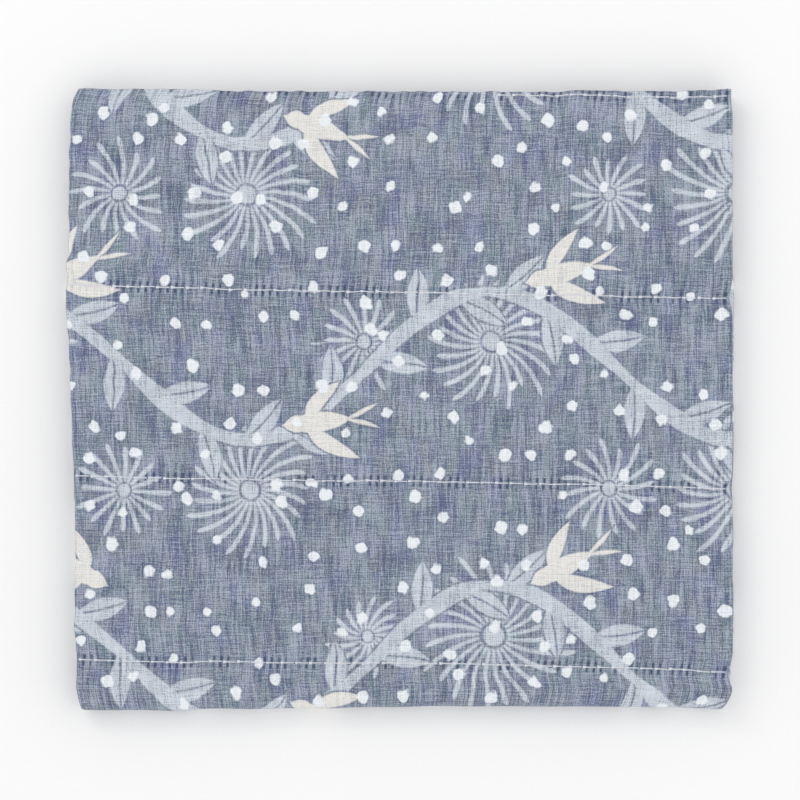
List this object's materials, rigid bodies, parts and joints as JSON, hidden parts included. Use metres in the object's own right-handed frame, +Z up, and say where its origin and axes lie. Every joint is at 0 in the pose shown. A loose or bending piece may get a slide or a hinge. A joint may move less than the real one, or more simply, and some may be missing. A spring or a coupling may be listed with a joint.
{
  "type": "folded kitchen towel",
  "caption": "Kitchen towel of row-stitched gauze plies, folded in half twice to a near square and lying flat.",
  "frame": {"origin": "under the middle of the folded towel, on the surface that it lies on", "axes": "+X across the folded towel, towards the spine of its first fold; +Y away from its second, round fold; +Z up through the layers"},
  "size_m": [0.1682, 0.1562, 0.0084],
  "materials": {
    "printed_gauze": "open plain-weave cotton gauze, matt, printed in pale greys and white on grey-blue"
  },
  "bodies": {
    "root": {"folded_towel": "printed_gauze"}
  },
  "joints": []
}
